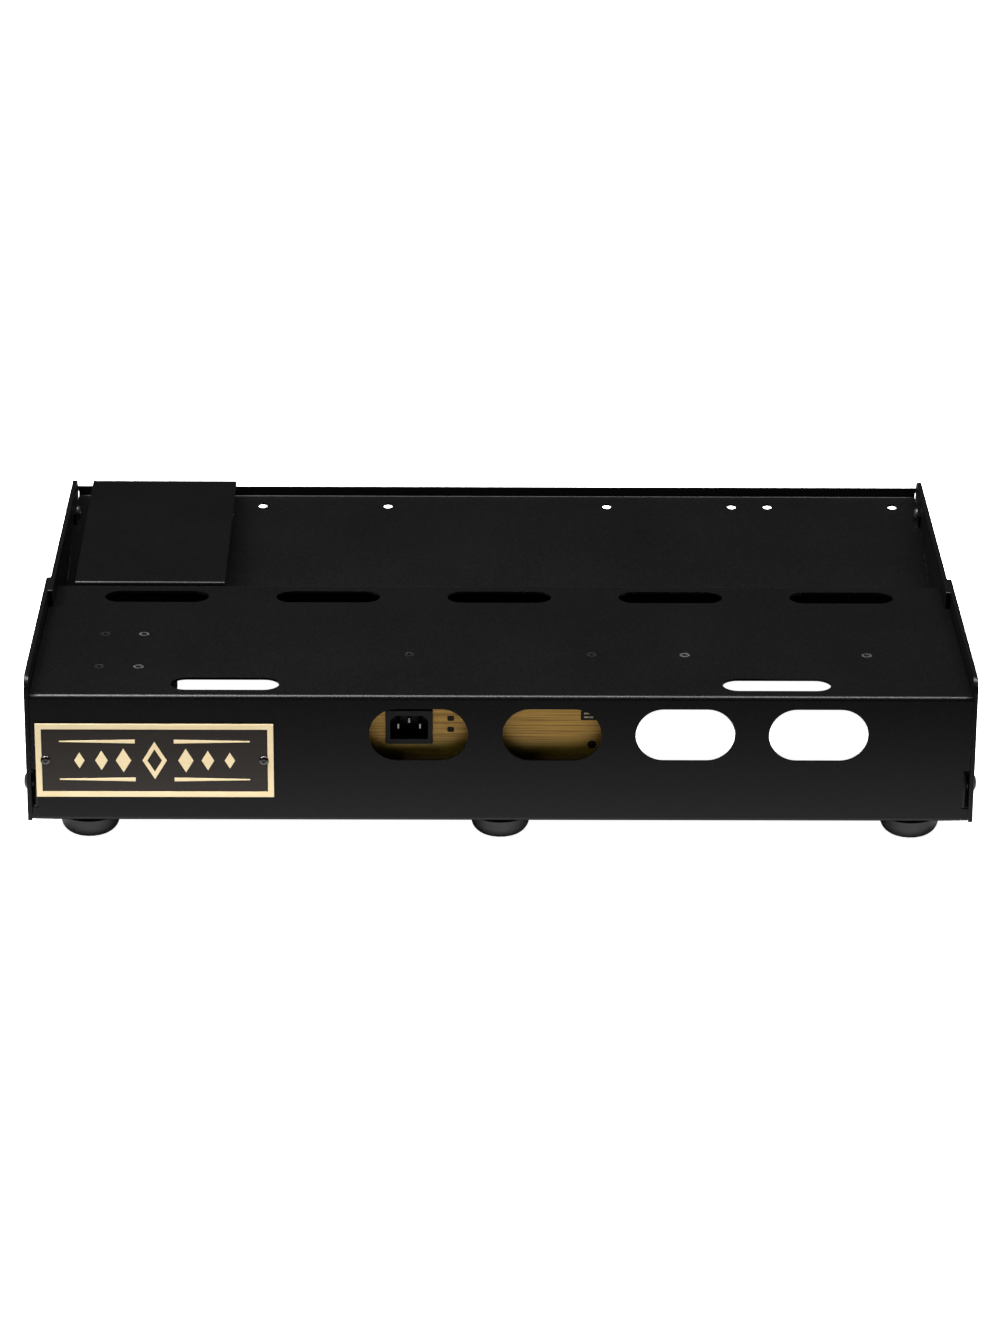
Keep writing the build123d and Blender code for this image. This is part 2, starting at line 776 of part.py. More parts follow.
# ---------------------------------------------------------------- power supply
# Two folded sheets make its case under the near deck, which the deck's two screws carry.
supply_front = y_at(supply_depth)
supply_back = y_at(supply_depth + supply_length)
supply_bottom = deck_underside - supply_height
supply_top = deck_underside
supply_lip_top = supply_bottom + 5.0
supply_bend = 2.0
inlet_x = -59.0
inlet_z = 80.8
inlet_width = 30.4
inlet_height = 24.0
inlet_flange = 2.5
inlet_seat = 0.8
inlet_rim = 0.6
inlet_corner = 1.0
inlet_barrel_width = 27.0
inlet_barrel_height = 19.6
inlet_barrel_length = 20.0
inlet_mouth_width = 24.4
inlet_mouth_height = 16.2
inlet_mouth_depth = 15.0
inlet_chamfer = 3.4
inlet_pin_pitch = 7.0
inlet_pin_width = 2.0
inlet_pin_height = 4.0
inlet_pin_length = 10.5
inlet_pin_low = -1.0
inlet_pin_high = 3.0
inlet_pin_bevel = 0.5
inlet_pin_places = (
    (-inlet_pin_pitch, inlet_pin_low),
    (0, inlet_pin_high),
    (inlet_pin_pitch, inlet_pin_low),
)
output_count = 10
output_pitch = 15.5
output_z = 76.0
output_bush = 3.9
output_bore = 2.75
output_pin = 1.0
output_depth = 9.0
output_collar = 1.5
lamp_z = 86.5
lamp_radius = 1.5
switch_xs = (-46.5, 46.5)
switch_z = 95.5
switch_groove_length = 8.6
switch_groove_height = 3.6
switch_groove_depth = 4.0
switch_travel = 3.0
switch_gap = 0.3
slider_proud = 0.4
slider_ridge_pitch = 1.8
slider_ridge_height = 1.6
board_top = 69.5
board_thickness = 1.6
board_near = supply_depth + 23.0
board_length = 92.0
board_half = 80.0
board_middle_y = y_at(board_near + board_length / 2)
post_radius = 3.0
post_inset = 6.0

# cover: front, top and back in one folded sheet, standing on the base's lips
with BuildPart() as supply_cover:
    with BuildSketch(Plane.YZ.offset(-(supply_half - supply_sheet))):
        with BuildLine():
            FilletPolyline(
                (supply_front, supply_lip_top),
                (supply_front, supply_top),
                (supply_back, supply_top),
                (supply_back, supply_lip_top),
                radius=supply_bend,
            )
            offset(amount=supply_sheet, side=Side.RIGHT)
        make_face()
    extrude(amount=2 * (supply_half - supply_sheet))
    with BuildSketch(Plane.XZ.offset(-supply_front + 1)):
        with Locations((inlet_x, inlet_z)):
            Rectangle(inlet_barrel_width, inlet_barrel_height)
    extrude(amount=-(supply_sheet + 2), mode=Mode.SUBTRACT)
    with BuildSketch(Plane.XZ.offset(-supply_back - 1)):
        with Locations((0, output_z)):
            with GridLocations(output_pitch, 1, output_count, 1):
                Circle(output_bush)
        with Locations((0, lamp_z)):
            with GridLocations(output_pitch, 1, output_count, 1):
                Circle(lamp_radius)
        with Locations(*[(x, switch_z) for x in switch_xs]):
            Rectangle(switch_groove_length, switch_groove_height)
    extrude(amount=supply_sheet + 2, mode=Mode.SUBTRACT)
    with BuildSketch(Plane.XY.offset(supply_top + 1)):
        with Locations(*[(side * supply_screw_x, y_at(supply_screw_depth)) for side in (-1, 1)]):
            Circle(flush_shank + 0.2)
    extrude(amount=-(supply_sheet + 2), mode=Mode.SUBTRACT)

supply_cover.part.label = "supply_cover"
export_step(supply_cover.part, "parts/supply_cover.step")

# base: a shallow pan whose two ends rise to the deck
with BuildPart() as supply_base:
    with BuildSketch(Plane.XY.offset(supply_bottom)):
        with Locations((0, (supply_front + supply_back) / 2)):
            Rectangle(2 * supply_half, supply_length)
    extrude(amount=supply_lip_top - supply_bottom)
    fillet(supply_base.edges().group_by(Axis.Z)[0], supply_bend)
    with BuildSketch(Plane.XY.offset(supply_bottom + supply_sheet)):
        with Locations((0, (supply_front + supply_back) / 2)):
            Rectangle(2 * (supply_half - supply_sheet), supply_length - 2 * supply_sheet)
    extrude(amount=supply_lip_top - supply_bottom, mode=Mode.SUBTRACT)
    with BuildSketch(Plane.XY.offset(supply_lip_top)):
        with Locations((0, (supply_front + supply_back) / 2)):
            with GridLocations(2 * supply_half - supply_sheet, 1, 2, 1):
                Rectangle(supply_sheet, supply_length)
    extrude(amount=supply_top - supply_lip_top)

supply_base.part.label = "supply_base"
export_step(supply_base.part, "parts/supply_base.step")

# C14 appliance inlet: a stepped flange on the front and a barrel through it, with three blades.
inlet_plane = Plane(origin=(inlet_x, supply_front, inlet_z), x_dir=(1, 0, 0), z_dir=(0, -1, 0))
with BuildPart() as supply_inlet:
    with BuildSketch(inlet_plane):
        RectangleRounded(inlet_width, inlet_height, inlet_corner)
    extrude(amount=inlet_seat)
    with BuildSketch(inlet_plane):
        RectangleRounded(inlet_width - 2 * inlet_rim, inlet_height - 2 * inlet_rim, inlet_corner)
    extrude(amount=inlet_flange)
    with BuildSketch(inlet_plane):
        Rectangle(inlet_barrel_width - 0.2, inlet_barrel_height - 0.2)
    extrude(amount=-inlet_barrel_length)
    with BuildSketch(inlet_plane.offset(inlet_flange)) as mouth:
        Rectangle(inlet_mouth_width, inlet_mouth_height)
        chamfer(mouth.vertices().group_by(Axis.Y)[-1], inlet_chamfer)
    extrude(amount=-inlet_mouth_depth, mode=Mode.SUBTRACT)

supply_inlet.part.label = "supply_inlet"
export_step(supply_inlet.part, "parts/supply_inlet.step")

with BuildPart() as inlet_pins:
    with BuildSketch(inlet_plane.offset(inlet_flange - inlet_mouth_depth)):
        with Locations(*inlet_pin_places):
            Rectangle(inlet_pin_width, inlet_pin_height)
    extrude(amount=inlet_pin_length)
    chamfer(inlet_pins.faces().group_by(Axis.Y)[0].edges(), inlet_pin_bevel)

inlet_pins.part.label = "supply_inlet_pins"
export_step(inlet_pins.part, "parts/supply_inlet_pins.step")

with BuildPart() as supply_board:
    with BuildSketch(Plane.XY.offset(board_top - board_thickness)):
        with Locations((0, board_middle_y)):
            Rectangle(2 * board_half, board_length)
    extrude(amount=board_thickness)

supply_board.part.label = "supply_circuit_board"
export_step(supply_board.part, "parts/supply_circuit_board.step")

post_height = board_top - board_thickness - supply_bottom - supply_sheet
with BuildPart() as supply_posts:
    with BuildSketch(Plane.XY.offset(supply_bottom + supply_sheet)):
        with Locations((0, board_middle_y)):
            with GridLocations(2 * (board_half - post_inset), board_length - 2 * post_inset, 2, 2):
                Circle(post_radius)
    extrude(amount=post_height)

supply_posts.part.label = "supply_board_posts"
export_step(supply_posts.part, "parts/supply_board_posts.step")

transformer_radius = 30.0
transformer_bore = 8.0
transformer_height = 26.0
transformer_round = 8.0
transformer_x = 48.0
transformer_depth = 71.5
with BuildPart() as transformer:
    with BuildSketch(Plane.XY.offset(board_top)):
        with Locations((transformer_x, y_at(transformer_depth))):
            Circle(transformer_radius)
            Circle(transformer_bore, mode=Mode.SUBTRACT)
    extrude(amount=transformer_height)
    fillet(transformer.edges().group_by(Axis.Z)[-1].sort_by(SortBy.RADIUS)[-1], transformer_round)

transformer.part.label = "supply_transformer"
export_step(transformer.part, "parts/supply_transformer.step")

# output jack pattern: origin on the back wall's inner face, Z pointing out of the back
jack_length = 12.0
jack_body_width = 10.0
jack_body_height = 2 * (output_z - board_top)
with BuildPart() as output_jack:
    with BuildSketch(Plane.XY):
        Rectangle(jack_body_width, jack_body_height)
    extrude(amount=-jack_length)
    with BuildSketch(Plane.XY):
        Circle(output_bush - 0.1)
    extrude(amount=supply_sheet + output_collar)
    with BuildSketch(Plane.XY.offset(supply_sheet + output_collar)):
        Circle(output_bore)
    extrude(amount=-output_depth, mode=Mode.SUBTRACT)

back_inner = supply_back - supply_sheet
output_xs = [output_pitch * (step - (output_count - 1) / 2) for step in range(output_count)]
output_places = [facing((x, back_inner, output_z), (0, 1, 0)) for x in output_xs]
output_jacks = group_of(output_jack.part, output_places)
output_jacks.part.label = "supply_output_jacks"
export_step(output_jacks.part, "parts/supply_output_jacks.step")

with BuildPart() as output_pin_pattern:
    with BuildSketch(Plane.XY.offset(supply_sheet + output_collar - output_depth)):
        Circle(output_pin)
    extrude(amount=output_depth - output_pin)

output_pins = group_of(output_pin_pattern.part, output_places)
output_pins.part.label = "supply_output_pins"
export_step(output_pins.part, "parts/supply_output_pins.step")

lamp_inside = 3.0
lamp_outside = 0.9
lamp_round = 0.8
with BuildPart() as lamp:
    with BuildSketch(Plane.XY.offset(-lamp_inside)):
        Circle(lamp_radius - 0.05)
    extrude(amount=lamp_inside + supply_sheet + lamp_outside)
    fillet(lamp.edges().group_by(Axis.Z)[-1], lamp_round)

lamps = group_of(lamp.part, [facing((x, back_inner, lamp_z), (0, 1, 0)) for x in output_xs])
lamps.part.label = "supply_indicator_lamps"
export_step(lamps.part, "parts/supply_indicator_lamps.step")

switch_body_length = 13.0
switch_body_height = 6.4
switch_body_depth = 7.0
with BuildPart() as switch_bodies:
    with BuildSketch(Plane.XZ.offset(-back_inner)):
        with Locations(*[(x, switch_z) for x in switch_xs]):
            Rectangle(switch_body_length, switch_body_height)
    extrude(amount=switch_body_depth)
    with BuildSketch(Plane.XZ.offset(-back_inner)):
        with Locations(*[(x, switch_z) for x in switch_xs]):
            Rectangle(switch_groove_length, switch_groove_height)
    extrude(amount=switch_groove_depth, mode=Mode.SUBTRACT)

switch_bodies.part.label = "supply_switch_bodies"
export_step(switch_bodies.part, "parts/supply_switch_bodies.step")


def switch_slider(x):
    """Slider at the left end of its groove: a foot in the groove and a ridged thumb tab."""
    foot_length = switch_groove_length - switch_travel - 2 * switch_gap
    foot_width = switch_groove_height - 2 * switch_gap
    middle = x - switch_travel / 2
    with BuildPart() as slider:
        with BuildSketch(Plane.XZ.offset(-(back_inner - switch_groove_depth + switch_gap))):
            with Locations((middle, switch_z)):
                Rectangle(foot_length, foot_width)
        extrude(amount=-(switch_groove_depth - switch_gap + supply_sheet + slider_proud))
        with BuildSketch(Plane.XZ.offset(-(supply_back + slider_proud))):
            with Locations((middle, switch_z)):
                with GridLocations(slider_ridge_pitch, 1, 3, 1):
                    Rectangle(slider_ridge_pitch / 2, foot_width)
        extrude(amount=-slider_ridge_height)
    return slider


left_slider = switch_slider(switch_xs[0])
left_slider.part.label = "supply_slider_left"
export_step(left_slider.part, "parts/supply_slider_left.step")

right_slider = switch_slider(switch_xs[1])
right_slider.part.label = "supply_slider_right"
export_step(right_slider.part, "parts/supply_slider_right.step")

weld_nut_radius = 3.4
weld_nut_height = 4.0
weld_nut = ring(weld_nut_radius, weld_nut_height, flush_shank + 0.1)
supply_nuts = group_of(
    weld_nut,
    [
        Location((side * supply_screw_x, y_at(supply_screw_depth), supply_top - supply_sheet))
        for side in (-1, 1)
    ],
)
supply_nuts.part.label = "supply_weld_nuts"
export_step(supply_nuts.part, "parts/supply_weld_nuts.step")

deck_screw_length = 7.0
deck_screw_socket = 2.5
deck_screw = flush_screw(flush_head, flush_shank, deck_screw_length, deck_screw_socket)
deck_screws = group_of(deck_screw, [Location((x, y_at(depth), near_deck_top)) for x, depth in flush_places])
deck_screws.part.label = "deck_flush_screws"
export_step(deck_screws.part, "parts/deck_flush_screws.step")

# ---------------------------------------------------------------- patch bay
# Closed box under the left end of the near deck, with six jacks through the left cheek.
bay_left = -cheek_inner
bay_width = bay_right - bay_left
bay_middle_x = (bay_left + bay_right) / 2
bay_middle_y = y_at(bay_depth + bay_length / 2)
bay_top = deck_underside
bay_bottom = bay_top - bay_height
jack_places = [(y_at(depth), z) for depth in jack_depths for z in jack_heights]
bay_jack_body = 14.0
bay_jack_length = 18.0
bay_jack_bush = 4.75
bay_jack_bore = 3.25
bay_jack_end = 2.0
bay_lid_clearance = 4.8
jack_nut_flats = 12.0
jack_nut_height = 2.0
bay_board_inset = 6.0

with BuildPart() as bay_case:
    with BuildSketch(Plane.XY.offset(bay_bottom)):
        with Locations((bay_middle_x, bay_middle_y)):
            Rectangle(bay_width, bay_length)
    extrude(amount=bay_height - bay_wall)
    with BuildSketch(Plane.XY.offset(bay_bottom + bay_wall)):
        with Locations((bay_middle_x, bay_middle_y)):
            Rectangle(bay_width - 2 * bay_wall, bay_length - 2 * bay_wall)
    extrude(amount=bay_height, mode=Mode.SUBTRACT)
    with BuildSketch(Plane.YZ.offset(bay_left - 1)):
        with Locations(*jack_places):
            Circle(jack_clearance)
    extrude(amount=bay_wall + 2, mode=Mode.SUBTRACT)

bay_case.part.label = "patch_bay_case"
export_step(bay_case.part, "parts/patch_bay_case.step")

with BuildPart() as bay_lid:
    with BuildSketch(Plane.XY.offset(bay_top - bay_wall)):
        with Locations((bay_middle_x, bay_middle_y)):
            Rectangle(bay_width, bay_length)
        with Locations(*[(bay_screw_x, y_at(depth)) for depth in bay_screw_depths]):
            Circle(flush_shank + 0.2, mode=Mode.SUBTRACT)
        with Locations(*[(bay_spare_x, y_at(depth)) for depth in bay_screw_depths]):
            Circle(bay_lid_clearance, mode=Mode.SUBTRACT)
    extrude(amount=bay_wall)

bay_lid.part.label = "patch_bay_lid"
export_step(bay_lid.part, "parts/patch_bay_lid.step")

bay_nuts = group_of(
    weld_nut, [Location((bay_screw_x, y_at(depth), bay_top - bay_wall)) for depth in bay_screw_depths]
)
bay_nuts.part.label = "patch_bay_weld_nuts"
export_step(bay_nuts.part, "parts/patch_bay_weld_nuts.step")

# jack pattern: origin on the case wall's inner face, Z pointing out through the cheek
bay_bush_length = bay_wall + plate + side_head_height
with BuildPart() as bay_jack:
    with BuildSketch(Plane.XY):
        Rectangle(bay_jack_body, bay_jack_body)
    extrude(amount=-bay_jack_length)
    with BuildSketch(Plane.XY):
        Circle(bay_jack_bush)
    extrude(amount=bay_bush_length)
    with BuildSketch(Plane.XY.offset(bay_bush_length)):
        Circle(bay_jack_bore)
    extrude(amount=-bay_bush_length - bay_jack_length + bay_jack_end, mode=Mode.SUBTRACT)

bay_jacks = group_of(
    bay_jack.part, [facing((bay_left + bay_wall, y, z), (-1, 0, 0)) for y, z in jack_places]
)
bay_jacks.part.label = "patch_bay_jacks"
export_step(bay_jacks.part, "parts/patch_bay_jacks.step")

jack_nut = hex_nut(jack_nut_flats, jack_nut_height, bay_jack_bush + 0.1)
jack_nut_x = -half_width - jack_nut_height
jack_nuts = group_of(jack_nut, [facing((jack_nut_x, y, z), (-1, 0, 0)) for y, z in jack_places])
jack_nuts.part.label = "patch_bay_jack_nuts"
export_step(jack_nuts.part, "parts/patch_bay_jack_nuts.step")

with BuildPart() as bay_board:
    with BuildSketch(Plane.YZ.offset(bay_left + bay_wall + bay_jack_length)):
        with Locations((bay_middle_y, bay_bottom + bay_height / 2)):
            Rectangle(bay_length - 2 * bay_board_inset, bay_height - 2 * bay_board_inset)
    extrude(amount=board_thickness)

bay_board.part.label = "patch_bay_circuit_board"
export_step(bay_board.part, "parts/patch_bay_circuit_board.step")

# ---------------------------------------------------------------- pedal riser
# Folded plate over the rear deck: foot flange, near leg, sloping top and a far lip.
pad_height = 1.5
pad_width = 24.0
pad_length = 11.0
foot_flange = 14.0
far_flange_bottom = 113.2
riser_bend = 2.0
pad_inset = 3.0
riser_slope = (riser_far_top - riser_near_top) / (riser_far_depth - riser_near_depth)
riser_outline = (
    (y_at(riser_near_depth + foot_flange), rear_top_at(riser_near_depth + foot_flange) + pad_height),
    (y_at(riser_near_depth), rear_top_at(riser_near_depth) + pad_height),
    (y_at(riser_near_depth), riser_near_top),
    (y_at(riser_far_depth), riser_far_top),
    (y_at(riser_far_depth), far_flange_bottom),
)

with BuildPart() as riser:
    with BuildSketch(Plane.YZ.offset(riser_x - riser_width / 2)):
        with BuildLine():
            FilletPolyline(*riser_outline, radius=riser_bend)
            offset(amount=sheet, side=Side.RIGHT)
        make_face()
    extrude(amount=riser_width)

riser.part.label = "riser_plate"
export_step(riser.part, "parts/riser_plate.step")

pad_plane = rear_plane(riser_near_depth + foot_flange - pad_length / 2 - 0.5, riser_x)
with BuildPart() as riser_pads:
    with BuildSketch(pad_plane):
        with GridLocations(riser_width - pad_width - 2 * pad_inset, 1, 2, 1):
            Rectangle(pad_width, pad_length)
    extrude(amount=pad_height * math.cos(math.radians(rear_tilt)))

riser_pads.part.label = "riser_pads"
export_step(riser_pads.part, "parts/riser_pads.step")

stud_radius = 2.0
stud_sleeve = 4.0
stud_bottom = 90.5
stud_gap = 0.4
sleeve_bottom = rear_top_at(lip_hole_depth) + stud_sleeve * slope + stud_gap
riser_under_z = riser_near_top + (lip_hole_depth - riser_near_depth) * riser_slope - sheet / math.cos(
    math.atan(riser_slope)
)
riser_under = Plane(
    origin=(riser_x, y_at(lip_hole_depth), riser_under_z),
    x_dir=(1, 0, 0),
    z_dir=(0, -riser_slope, 1),
)
stud_xs = [riser_x + side * lip_hole_spacing / 2 for side in (-1, 1)]
with BuildPart() as riser_studs:
    with BuildSketch(Plane.XY.offset(stud_bottom)):
        with Locations(*[(x, y_at(lip_hole_depth)) for x in stud_xs]):
            Circle(stud_radius)
    extrude(amount=cheek_top - stud_bottom)
    with BuildSketch(Plane.XY.offset(sleeve_bottom)):
        with Locations(*[(x, y_at(lip_hole_depth)) for x in stud_xs]):
            Circle(stud_sleeve)
    extrude(amount=cheek_top - sleeve_bottom)
    split(bisect_by=riser_under, keep=Keep.BOTTOM)

riser_studs.part.label = "riser_studs"
export_step(riser_studs.part, "parts/riser_studs.step")

# tapered washers fill the wedge between the sloping deck and the upright thumb nuts
deck_under_z = rear_top_at(lip_hole_depth) - sheet / math.cos(math.radians(rear_tilt))
washer_radius = 6.0
washer_thin = 0.8
washer_bottom = deck_under_z - washer_radius * slope - washer_thin
with BuildPart() as riser_washers:
    with BuildSketch(Plane.XY.offset(washer_bottom)):
        with Locations(*[(x, y_at(lip_hole_depth)) for x in stud_xs]):
            Circle(washer_radius)
            Circle(stud_radius + 0.4, mode=Mode.SUBTRACT)
    extrude(amount=2 * washer_radius * slope + 2 * washer_thin)
    split(bisect_by=rear_plane(lip_hole_depth).offset(-sheet), keep=Keep.BOTTOM)

riser_washers.part.label = "riser_taper_washers"
export_step(riser_washers.part, "parts/riser_taper_washers.step")

thumb_nut_height = 6.0
thumb_nut_radius = 7.0
thumb_nut_sides = 20
with BuildPart() as thumb_nuts:
    with BuildSketch(Plane.XY.offset(washer_bottom)):
        with Locations(*[(x, y_at(lip_hole_depth)) for x in stud_xs]):
            RegularPolygon(radius=thumb_nut_radius, side_count=thumb_nut_sides)
            Circle(stud_radius + 0.05, mode=Mode.SUBTRACT)
    extrude(amount=-thumb_nut_height)

thumb_nuts.part.label = "riser_thumb_nuts"
export_step(thumb_nuts.part, "parts/riser_thumb_nuts.step")
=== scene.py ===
import json
import math

import bmesh
import bpy
from mathutils import Matrix, Vector


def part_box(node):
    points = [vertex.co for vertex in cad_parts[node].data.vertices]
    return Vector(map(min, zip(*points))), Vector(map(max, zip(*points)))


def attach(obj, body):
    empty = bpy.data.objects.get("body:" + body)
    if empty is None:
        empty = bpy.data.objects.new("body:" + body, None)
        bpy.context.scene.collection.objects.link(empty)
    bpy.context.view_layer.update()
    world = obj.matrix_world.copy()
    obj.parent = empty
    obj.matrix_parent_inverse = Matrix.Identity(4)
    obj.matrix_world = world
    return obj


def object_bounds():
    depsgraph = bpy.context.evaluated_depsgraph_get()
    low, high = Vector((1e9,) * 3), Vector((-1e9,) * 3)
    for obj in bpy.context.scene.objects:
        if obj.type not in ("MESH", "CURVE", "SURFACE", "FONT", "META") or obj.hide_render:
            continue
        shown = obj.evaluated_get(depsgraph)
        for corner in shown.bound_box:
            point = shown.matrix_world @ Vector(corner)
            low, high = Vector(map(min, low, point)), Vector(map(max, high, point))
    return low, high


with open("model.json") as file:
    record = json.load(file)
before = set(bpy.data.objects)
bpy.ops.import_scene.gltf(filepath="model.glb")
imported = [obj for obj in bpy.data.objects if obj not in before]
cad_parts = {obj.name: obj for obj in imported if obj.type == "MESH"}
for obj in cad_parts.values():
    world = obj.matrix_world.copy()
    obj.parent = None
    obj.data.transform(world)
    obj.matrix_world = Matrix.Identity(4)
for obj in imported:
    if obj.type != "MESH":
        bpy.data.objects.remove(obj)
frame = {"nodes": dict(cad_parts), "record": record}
cad_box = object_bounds()
nodes = frame["nodes"]

# Everything below is in metres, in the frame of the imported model.
MM = 0.001

shell_low, shell_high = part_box("front_shell")
cover_low, cover_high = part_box("supply_cover")
inlet_low, inlet_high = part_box("supply_inlet")
front_y = shell_low.y
panel_bottom = shell_low.z
deck_top = shell_high.z
half_width = cad_box[1].x
board_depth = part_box("left_side_plate")[1].y - front_y


# ---------------------------------------------------------------- node helpers
# Most values of a noise texture lie between these two.
NOISE_LOW = 0.3
NOISE_HIGH = 0.7

# The colour sockets of a mix node, which share their names with its number sockets.
MIX_FIRST = 6
MIX_SECOND = 7
MIX_RESULT = 2


class Surface:
    """One procedural material: a Principled shader and short calls that add nodes to it."""

    def __init__(self, name):
        self.material = bpy.data.materials.new(name)
        self.material.use_nodes = True
        self.tree = self.material.node_tree
        self.shader = self.tree.nodes["Principled BSDF"]
        self.coords = self.tree.nodes.new("ShaderNodeTexCoord").outputs["Object"]

    def fixed(self, **values):
        """Values that are the same all over the surface, set on the shader's own sockets."""
        for socket, value in values.items():
            self.shader.inputs[socket.replace("_", " ")].default_value = value

    def link(self, output, socket):
        self.tree.links.new(output, self.shader.inputs[socket])

    def stretched(self, scale):
        """Object coordinates scaled along each axis, for brushed or drawn grain."""
        mapping = self.tree.nodes.new("ShaderNodeMapping")
        mapping.inputs["Scale"].default_value = scale
        self.tree.links.new(self.coords, mapping.inputs["Vector"])
        return mapping.outputs["Vector"]

    def noise(self, scale, detail=3.0, coords=None):
        """Noise of so many cells to each unit of its coordinates, a metre unless they are stretched."""
        texture = self.tree.nodes.new("ShaderNodeTexNoise")
        texture.inputs["Scale"].default_value = scale
        texture.inputs["Detail"].default_value = detail
        self.tree.links.new(coords or self.coords, texture.inputs["Vector"])
        return texture.outputs["Fac"]

    def spread(self, value, to_low=0.0, to_high=1.0, low=NOISE_LOW, high=NOISE_HIGH):
        """Maps low..high of a value to to_low..to_high, clamped."""
        node = self.tree.nodes.new("ShaderNodeMapRange")
        node.inputs["From Min"].default_value = low
        node.inputs["From Max"].default_value = high
        node.inputs["To Min"].default_value = to_low
        node.inputs["To Max"].default_value = to_high
        self.tree.links.new(value, node.inputs["Value"])
        return node.outputs["Result"]

    def combine(self, operation, first, second):
        """A maths node on a value and a second one, which may be a plain number."""
        node = self.tree.nodes.new("ShaderNodeMath")
        node.operation = operation
        self.tree.links.new(first, node.inputs[0])
        if isinstance(second, float):
            node.inputs[1].default_value = second
        else:
            self.tree.links.new(second, node.inputs[1])
        return node.outputs["Value"]

    def weighted(self, first, share, second):
        """A share of the first value and the rest of the second."""
        taken = self.combine("MULTIPLY", first, share)
        rest = self.combine("MULTIPLY", second, 1.0 - share)
        return self.combine("ADD", taken, rest)

    def mix(self, amount, first, second):
        """Colour between a fixed colour and a second one, fixed or from a node."""
        node = self.tree.nodes.new("ShaderNodeMix")
        node.data_type = "RGBA"
        node.inputs[MIX_FIRST].default_value = (*first, 1.0)
        if isinstance(second, tuple):
            node.inputs[MIX_SECOND].default_value = (*second, 1.0)
        else:
            self.tree.links.new(second, node.inputs[MIX_SECOND])
        self.tree.links.new(amount, node.inputs["Factor"])
        return node.outputs[MIX_RESULT]

    def bump(self, height, distance, strength, under=None):
        """Normals of a height field of so many metres, on top of those of another one if given."""
        node = self.tree.nodes.new("ShaderNodeBump")
        node.inputs["Strength"].default_value = strength
        node.inputs["Distance"].default_value = distance
        self.tree.links.new(height, node.inputs["Height"])
        if under is not None:
            self.tree.links.new(under, node.inputs["Normal"])
        return node.outputs["Normal"]

    def colour(self, amount, first, second):
        self.link(self.mix(amount, first, second), "Base Color")

    def roughness(self, value, smooth, rough, low=NOISE_LOW, high=NOISE_HIGH):
        self.link(self.spread(value, smooth, rough, low, high), "Roughness")

    def relief(self, height, distance, strength, under=None):
        self.link(self.bump(height, distance, strength, under), "Normal")


# ---------------------------------------------------------------- materials
def powder_coat(name="powder_coat", dark=(0.0005, 0.0004, 0.0005), light=(0.0011, 0.0010, 0.0011)):
    """Satin powder coat: a fine speckle on an orange-peel relief, and a faint cloudiness."""
    surface = Surface(name)
    surface.fixed(Specular_IOR_Level=0.11)
    cloud = surface.noise(14.0, detail=4.0)
    speck = surface.noise(1500.0, detail=2.0)
    tone = surface.combine("MULTIPLY", surface.spread(cloud, 0.5, 1.0), surface.spread(speck, 0.2, 1.0))
    surface.colour(tone, dark, light)
    surface.roughness(surface.weighted(speck, 0.88, cloud), 0.27, 0.41, low=0.35, high=0.65)
    peel = surface.bump(surface.noise(900.0, detail=2.0), distance=0.05 * MM, strength=0.5)
    grit = surface.noise(2600.0, detail=1.0)
    surface.relief(grit, distance=0.02 * MM, strength=0.4, under=peel)
    return surface.material


def black_oxide(name="black_oxide", dark=(0.018, 0.018, 0.020), light=(0.045, 0.045, 0.050)):
    """Black oxide on steel screws: oily blue-black with a soft metal glint."""
    surface = Surface(name)
    surface.fixed(Metallic=0.75)
    grain = surface.noise(1800.0)
    surface.colour(grain, dark, light)
    surface.roughness(grain, 0.30, 0.42)
    surface.relief(grain, distance=0.02 * MM, strength=0.3)
    return surface.material


def dark_nickel():
    """Black nickel on the nameplate's screws: dark, but glossier than oxide."""
    surface = Surface("dark_nickel")
    surface.fixed(Metallic=1.0)
    marks = surface.noise(2400.0)
    surface.colour(marks, (0.030, 0.029, 0.028), (0.065, 0.064, 0.060))
    surface.roughness(marks, 0.18, 0.28)
    return surface.material


def zinc_plate(name="zinc_plate", dark=(0.42, 0.43, 0.45), light=(0.62, 0.63, 0.65)):
    """Bright zinc plate with a faint crystalline spangle."""
    surface = Surface(name)
    surface.fixed(Metallic=1.0)
    spangle = surface.noise(700.0, detail=4.0)
    surface.colour(spangle, dark, light)
    surface.roughness(spangle, 0.26, 0.40)
    surface.relief(spangle, distance=0.02 * MM, strength=0.3)
    return surface.material


def polished_nickel(name="polished_nickel", tint=(0.72, 0.71, 0.68)):
    """Nickel or silver plate with fine turning marks, a little darker than the tint."""
    surface = Surface(name)
    surface.fixed(Metallic=1.0)
    marks = surface.noise(2200.0)
    mark_shade = 0.88
    surface.colour(marks, tuple(channel * mark_shade for channel in tint), tint)
    surface.roughness(marks, 0.14, 0.24)
    return surface.material


# Painted shade by the cover's bottom fold: a darker gold that fades out between these heights above its
# foot.
GOLD_SHADE_LOW = 5.0 * MM
GOLD_SHADE_HIGH = 12.0 * MM


